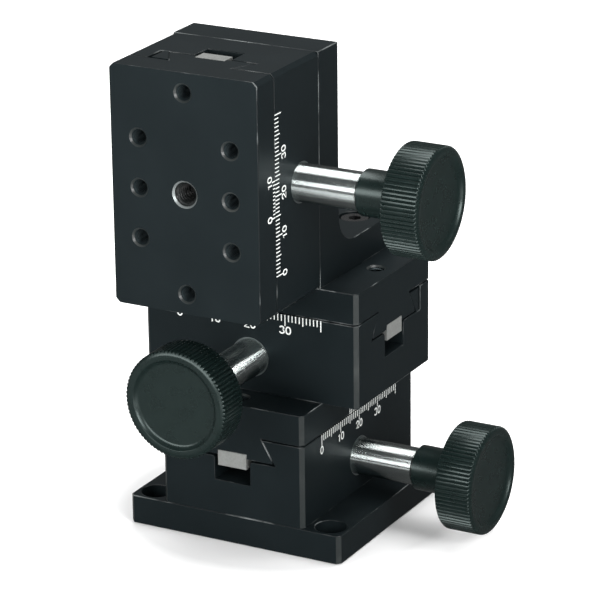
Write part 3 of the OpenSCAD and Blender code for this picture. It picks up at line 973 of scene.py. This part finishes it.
@dataclass
class Engraving:
    """White-filled scales on the knob side of a stage: 0 to 40 mm and a vernier above it.

    The ticks are the lengths of a plain line, a fifth line and a tenth line.
    """

    stage: StageFrame
    wall: float = 20.0
    line_z: float = 21.7
    table_z: float = 22.0
    width: float = 0.28
    height: float = 1.8
    digit_w: float = 1.25
    stroke: float = 0.36
    proud: float = 0.012
    sunk: float = 0.21
    pitch: float = 1.8
    label_drop: float = 4.0
    label_rise: float = 2.6
    edge: float = 0.02
    span: int = 40
    ticks: Triple = (1.7, 2.25, 2.9)
    divisions: int = 10
    division: float = 0.9
    vernier_start: float = -5.0
    vernier_ticks: Pair = (1.0, 1.5)

    def _bar(self, y: float, z0: float, z1: float) -> Skin:
        """One scale line from z0 to z1 at y, from just inside the wall to just proud of it."""
        left, right = y - self.width / 2, y + self.width / 2
        outline = np.array([[left, z0], [right, z0], [right, z1], [left, z1]])
        ends = [
            np.column_stack([np.full(4, level), outline])
            for level in (self.wall - self.sunk, self.wall + self.proud)
        ]
        faces = np.array([
            [3, 2, 1, 0], [4, 5, 6, 7], [0, 1, 5, 4], [1, 2, 6, 5], [2, 3, 7, 6], [3, 0, 4, 7]
        ])
        return self.stage.to_row(np.concatenate(ends)), faces

    @staticmethod
    def _arc(middle: float, half: Pair, degrees: Pair, count: int) -> np.ndarray:
        """Part of an ellipse, as points between two angles.

        Args:
            middle: How far its middle lies above the digit's.
            half: Half its width and half its height.
            degrees: The first angle and the last.
            count: How many points.

        Returns:
            (count, 2) places across and up.
        """
        t = np.linspace(math.radians(degrees[0]), math.radians(degrees[1]), count)
        return np.column_stack([half[0] * np.cos(t), middle + half[1] * np.sin(t)])

    def _path(self, glyph: Glyph) -> np.ndarray:
        """A digit's line, in a box one digit wide and high, centred, y across and z up.

        Zero is a closed superellipse, one a flag and an upright, two an arc, a slope and a foot,
        three two arcs that meet in the middle. Their places are shares of half the box.
        """
        w, h = self.digit_w / 2, self.height / 2
        if glyph is Glyph.ZERO:
            t = np.linspace(0, TAU, 25)
            c, s = np.cos(t), np.sin(t)
            across = w * np.sign(c) * np.abs(c) ** 0.85
            up = h * np.sign(s) * np.abs(s) ** 0.95
            return np.column_stack([across, up])
        if glyph is Glyph.ONE:
            return np.array([[-0.3 * w, 0.55 * h], [0.35 * w, h], [0.35 * w, -h]])
        if glyph is Glyph.TWO:
            bow = self._arc(h * 0.42, (w * 0.95, h * 0.58), (165, -35), 12)
            return np.concatenate([bow, [[-w, -h], [w, -h]]])
        upper = self._arc(h * 0.5, (w * 0.85, h * 0.5), (150, -80), 12)
        lower = self._arc(-h * 0.46, (w * 0.98, h * 0.54), (80, -150), 13)
        return np.concatenate([upper, lower])

    def _ribbon(self, path: np.ndarray, closed: bool) -> Skin:
        """A line of even width carried along a path on the wall, as a closed strip.

        The section is a rectangle: half the stroke to each side of the path, square to its
        direction, from just inside the wall to just proud of it.
        """
        if closed:
            path = path[:-1]
            ahead = np.roll(path, -1, 0) - np.roll(path, 1, 0)
        else:
            ahead = np.gradient(path, axis=0)
        ahead /= np.linalg.norm(ahead, axis=1)[:, None]
        side = np.column_stack([-ahead[:, 1], ahead[:, 0]]) * self.stroke / 2
        if not closed:
            tip = ahead[[0, -1]] * self.stroke / 2
            path = path.copy()
            path[0] -= tip[0]
            path[-1] += tip[1]
        deep, high = self.wall - self.sunk, self.wall + self.proud
        section = [(side, high), (-side, high), (-side, deep), (side, deep)]
        rows = np.stack([
            np.column_stack([np.full(len(path), level), path + offset]) for offset, level in section
        ], 1)
        faces = wrapped_faces(len(path), 4, closed, True)
        if not closed:
            last = (len(path) - 1) * 4
            caps = np.array([[0, 1, 2, 3], [last + 3, last + 2, last + 1, last]])
            faces = np.concatenate([faces, caps])
        return self.stage.to_row(rows.reshape(-1, 3)), faces

    def _number(self, text: str, y: float, z: float) -> list[Skin]:
        """The digits of a number, centred on a point of the wall."""
        start = y - (len(text) - 1) / 2 * self.pitch
        parts = []
        for place, letter in enumerate(text):
            glyph = Glyph(letter)
            path = self._path(glyph) + np.array([start + place * self.pitch, z])
            parts.append(self._ribbon(path, glyph is Glyph.ZERO))
        return parts

    def _finished(self, name: str, body: str, parts: list, paint: Material) -> None:
        """Joins the marks into one object, paints it and seats it on a body."""
        made = join_parts(name, parts)
        facing_out(made)
        made.data.shade_flat()
        made.data.materials.append(paint)
        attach(made, body)

    def build_main(self, body: str, paint: Material) -> None:
        """The main scale, 0 to 40 mm and numbered to 30, down from the base's parting line."""
        parts = []
        plain, fifth, tenth = self.ticks
        start, top = -self.span // 2, self.line_z - self.edge
        for tick in range(self.span + 1):
            length = plain if tick % 5 else fifth
            length = length if tick % 10 else tenth
            parts.append(self._bar(start + tick, top - length, top))
        label_z = self.line_z - self.label_drop
        for number in range(0, self.span, 10):
            parts += self._number(str(number), start + number, label_z)
        self._finished(self.stage.node("scale"), body, parts, paint)

    def build_vernier(self, body: str, paint: Material) -> None:
        """The vernier on the table's wall: ten divisions over nine millimetres."""
        parts = []
        plain, numbered = self.vernier_ticks
        foot, ends = self.table_z + self.edge, (0, self.divisions)
        places = [self.vernier_start + tick * self.division for tick in range(self.divisions + 1)]
        for tick, y in enumerate(places):
            length = numbered if tick in ends else plain
            parts.append(self._bar(y, foot, foot + length))
        for tick in ends:
            parts += self._number(str(tick), places[tick], self.table_z + self.label_rise)
        self._finished(self.stage.node("vernier"), body, parts, paint)


@dataclass(frozen=True)
class PhotoCamera:
    """The camera of the photograph, fitted to the stage's corners, knobs and holes."""

    yaw: float = 28.665
    pitch: float = 19.647
    roll: float = -0.679
    focal_px: float = 3459.8
    across_px: float = 600.0
    right_mm: float = 2.963
    up_mm: float = 53.220
    distance_mm: float = 891.6
    sensor_mm: float = 36.0
    near_m: float = 0.01
    far_m: float = 30.0

    def build(self) -> Object:
        """Places the camera: it looks back along a ray with that yaw and pitch, then rolls."""
        yaw, pitch, roll = (math.radians(a) for a in (self.yaw, self.pitch, self.roll))
        back = Vector((
            math.sin(yaw) * math.cos(pitch), -math.cos(yaw) * math.cos(pitch), math.sin(pitch)
        ))
        right = Vector((math.cos(yaw), math.sin(yaw), 0))
        up = back.cross(right)
        spot = right * self.right_mm + up * self.up_mm + back * self.distance_mm
        x_axis = right * math.cos(roll) + up * math.sin(roll)
        y_axis = up * math.cos(roll) - right * math.sin(roll)
        data = bpy.data.cameras.new("photo_camera")
        data.sensor_width = self.sensor_mm
        data.lens = self.focal_px / self.across_px * self.sensor_mm
        data.clip_start = self.near_m
        data.clip_end = self.far_m
        made = bpy.data.objects.new("photo_camera", data)
        made.matrix_world = Matrix([
            (x_axis[i], y_axis[i], back[i], spot[i] * MM) for i in range(3)
        ] + [(0, 0, 0, 1)])
        bpy.context.scene.collection.objects.link(made)
        bpy.context.scene.camera = made
        return made


@dataclass(frozen=True)
class Softbox:
    """A soft lamp: where it stands, what it looks at, its size and its strength."""

    name: str
    place: Triple
    size: Pair
    watts: float
    aim: Triple = (0, 0, 0.06)

    def build(self) -> None:
        """Adds the area lamp, turned towards its aim."""
        data = bpy.data.lights.new(self.name, "AREA")
        data.shape = "RECTANGLE"
        data.size, data.size_y = self.size
        data.energy = self.watts
        made = bpy.data.objects.new(self.name, data)
        made.location = self.place
        towards = Vector(self.aim) - Vector(self.place)
        made.rotation_euler = towards.to_track_quat("-Z", "Y").to_euler()
        made.visible_camera = False
        bpy.context.scene.collection.objects.link(made)


@dataclass
class Studio:
    """Plain pale floor that glows to lift the part's shadow, pale surroundings and soft lamps."""

    floor_half: float = 6.0
    floor_drop: float = 0.0002
    floor_tone: float = 0.86
    floor_change: float = 0.01
    floor_per_mm: float = 0.02
    floor_roughness: float = 0.9
    floor_specular: float = 0.1
    # painted light: the floor's own glow just outside the part, which fades its shadow
    floor_glow: float = 0.52
    under: Pair = (0.042, 0.055)
    far: Pair = (0.5, 1.6)
    sky: float = 0.13
    lamps: tuple[Softbox, ...] = (
        Softbox("top", (0.05, 0.20, 1.15), (1.4, 0.80), 20.0),
        Softbox("front", (-0.25, -1.05, 0.40), (1.5, 0.42), 13.0),
        Softbox("side", (0.70, -0.42, 0.36), (0.34, 0.46), 6.0),
        Softbox("paper_front", (-0.10, -0.45, 0.0), (1.0, 0.7), 0.6, (-0.10, -0.45, 1.0)),
        Softbox("paper_right", (0.34, -0.30, 0.0), (0.5, 0.32), 1.2, (0.34, -0.30, 1.0)),
    )

    def _glow(self, graph: Graph) -> Socket:
        """How much the floor shines by itself: nothing under the part, painted light that lifts the
        part's shadow just outside it, white far away.

        The glow is the near share, which rises where the part's footprint ends, times the glow
        there, plus the far share times what is left up to white.
        """
        away = graph.vector("LENGTH", graph.place(), output="Value")
        near, far = graph.ramp(away, *self.under), graph.ramp(away, *self.far)
        return near * self.floor_glow + far * (1 - self.floor_glow)

    def build(self) -> None:
        """Makes the floor, the surroundings and the lamps."""
        half = self.floor_half
        corners = np.array([[-half, -half, 0], [half, -half, 0], [half, half, 0], [-half, half, 0]])
        corners[:, 2] = -self.floor_drop
        floor = make_object("floor", corners, np.array([[0, 1, 2, 3]]))
        graph = Graph("floor_paper")
        tone = graph.noise(graph.place(), self.floor_per_mm, 2)
        low, high = self.floor_tone - self.floor_change, self.floor_tone + self.floor_change
        floor.data.materials.append(graph.finish(
            Base_Color=graph.mix(tone, (low, low, low), (high, high, high)),
            Roughness=self.floor_roughness,
            Specular_IOR_Level=self.floor_specular,
            Emission_Color=self._glow(graph),
            Emission_Strength=1.0,
        ))
        floor.visible_glossy = False
        world = bpy.data.worlds.new("studio")
        world.use_nodes = True
        background = world.node_tree.nodes["Background"]
        background.inputs["Color"].default_value = (1, 1, 1, 1)
        background.inputs["Strength"].default_value = self.sky
        bpy.context.scene.world = world
        for lamp in self.lamps:
            lamp.build()
        bpy.context.scene.view_settings.view_transform = "Standard"
        LOG.info("studio ready")


@dataclass
class SingleStage:
    """One of the three stages: its blocks, sleeve, knob, threads and scales."""

    axis: Axis
    lower_body: str
    upper_body: str
    knob_body: str
    sleeve_relief: float = 0.017

    def build(self, finishes: dict[str, Material]) -> None:
        """Builds the stage's pieces and logs that the stage is dressed.

        Args:
            finishes: The materials by slot or finish name.
        """
        stage = StageFrame.measured(self.axis)
        block = [finishes[name] for name in BLOCK_FINISHES]
        Block(stage.node("base"), self.lower_body, stage).build(block)
        Block(stage.node("table"), self.upper_body, stage).build(block)
        along = tuple(float(part) for part in self.axis.turn[:, 0])
        plating = TurnedPlating(
            f"plated_sleeve_{self.axis.stage}", along, relief=self.sleeve_relief
        )
        Sleeve(stage, self.lower_body).build(plating.material())
        knob = Knob(stage, self.knob_body)
        centre = stage.to_row(np.array([0, 0, knob.axis_z])) / MM
        turned = KnobBlack(f"knob_black_{self.axis.stage}", tuple(centre), along)
        knob.build(turned.material())
        Threads(stage, self.upper_body).build(
            finishes["anodised_thread"], finishes["black_anodised"]
        )
        marks = Engraving(stage)
        marks.build_main(self.lower_body, finishes["scale_white"])
        marks.build_vernier(self.upper_body, finishes["scale_white"])
        LOG.info("%s stage dressed", self.axis.stage)


@dataclass
class Machine:
    """The whole translation stage and the finish of every piece in it."""

    stages: tuple[SingleStage, ...] = (
        SingleStage(Axis.LOWER, "ground", "lower_carriage", "lower_handwheel"),
        SingleStage(Axis.MIDDLE, "lower_carriage", "middle_carriage", "middle_handwheel", 0.0225),
        SingleStage(Axis.VERTICAL, "middle_carriage", "vertical_carriage", "vertical_handwheel"),
    )

    @staticmethod
    def finishes() -> dict[str, Material]:
        """Makes each finish that doesn't follow one stage's axis.

        Returns:
            The materials by name.
        """
        made = [
            Anodised(),
            BrokenEdge(),
            # painted highlight: lighter and glossier than the faces, for the chamfers that catch the
            # light
            BrokenEdge("chamfer_painted_highlight", (0.018, 0.022, 0.022), (0.034, 0.038, 0.037), 0.30, 0.45),
            BrokenEdge("anodised_thread", (0.008, 0.010, 0.010), (0.060, 0.064, 0.064), 0.34, 0.30),
            Paint(),
            Metal("plated_sleeve", (0.62, 0.64, 0.62), (0.80, 0.82, 0.80), 0.16, per_mm=1.0),
            Metal(
                "bright_steel", (0.26, 0.27, 0.26), (0.60, 0.62, 0.60), 0.36,
                per_mm=1.6, metallic=0.75,
            ),
            Metal(
                "cut_ring", (0.15, 0.17, 0.17), (0.32, 0.35, 0.35), 0.40,
                per_mm=0.6, metallic=0.7,
            ),
            Metal("dark_steel", (0.030, 0.031, 0.032), (0.075, 0.077, 0.078), 0.27, metallic=0.7),
            Metal("bronze_bush", (0.36, 0.22, 0.09), (0.55, 0.36, 0.16), 0.36),
            Metal("knob_black", (0.012, 0.015, 0.015), (0.022, 0.026, 0.026), 0.32, metallic=0.0),
        ]
        return {finish.name: finish.material() for finish in made}

    def build(self, frame: dict) -> None:
        """Dresses the nodes that stay as they are, then builds what replaces the rest.
        """
        finishes = self.finishes()
        slots = {row["node"]: row["material_slot"] for row in frame["record"]["subparts"]}
        for name, node in frame["nodes"].items():
            node.data.materials.clear()
            node.data.materials.append(finishes[slots[name]])
        LOG.info("%d solids dressed", len(frame["nodes"]))
        block = [finishes[name] for name in BLOCK_FINISHES]
        Block("base_plate", "ground").build(block)
        Block("bracket", "middle_carriage").build(block)
        for stage in self.stages:
            stage.build(finishes)


def main() -> None:
    """Loads the frame, then builds the camera, the studio and the machine."""
    logging.basicConfig(level=logging.INFO, format="%(name)s: %(message)s")
    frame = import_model()
    PhotoCamera().build()
    Studio().build()
    Machine().build(frame)


if __name__ == "__main__":
    main()
